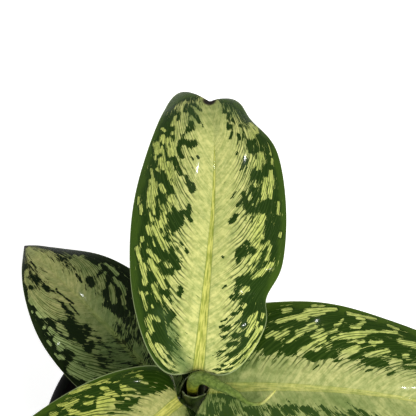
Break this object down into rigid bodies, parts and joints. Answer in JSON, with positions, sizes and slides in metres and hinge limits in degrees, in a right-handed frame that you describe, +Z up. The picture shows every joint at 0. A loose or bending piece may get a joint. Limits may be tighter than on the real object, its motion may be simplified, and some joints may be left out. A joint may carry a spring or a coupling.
{
  "type": "potted dieffenbachia",
  "caption": "House plant with broad cream and green variegated leaves spreading from a short upright cane, standing in potting mix in a plain round black grow pot.",
  "frame": {"origin": "middle of the pot's flat underside, which rests on the surface", "axes": "+Z up; +Y away from the picture's viewer, the way the newest open leaf points; +X to the viewer's right"},
  "size_m": [0.2362, 0.245, 0.1957],
  "materials": {
    "black_plastic": "satin",
    "potting_mix": "matte",
    "green_stem": "satin",
    "variegated_leaf": "satin",
    "young_leaf": "satin"
  },
  "bodies": {
    "root": {"pot": "black_plastic", "soil": "potting_mix", "shoot": "green_stem", "leaf_back": "variegated_leaf", "leaf_right": "variegated_leaf", "leaf_front_left": "variegated_leaf", "leaf_back_left": "variegated_leaf", "leaf_front": "variegated_leaf", "rolled_leaf": "young_leaf"}
  },
  "joints": []
}
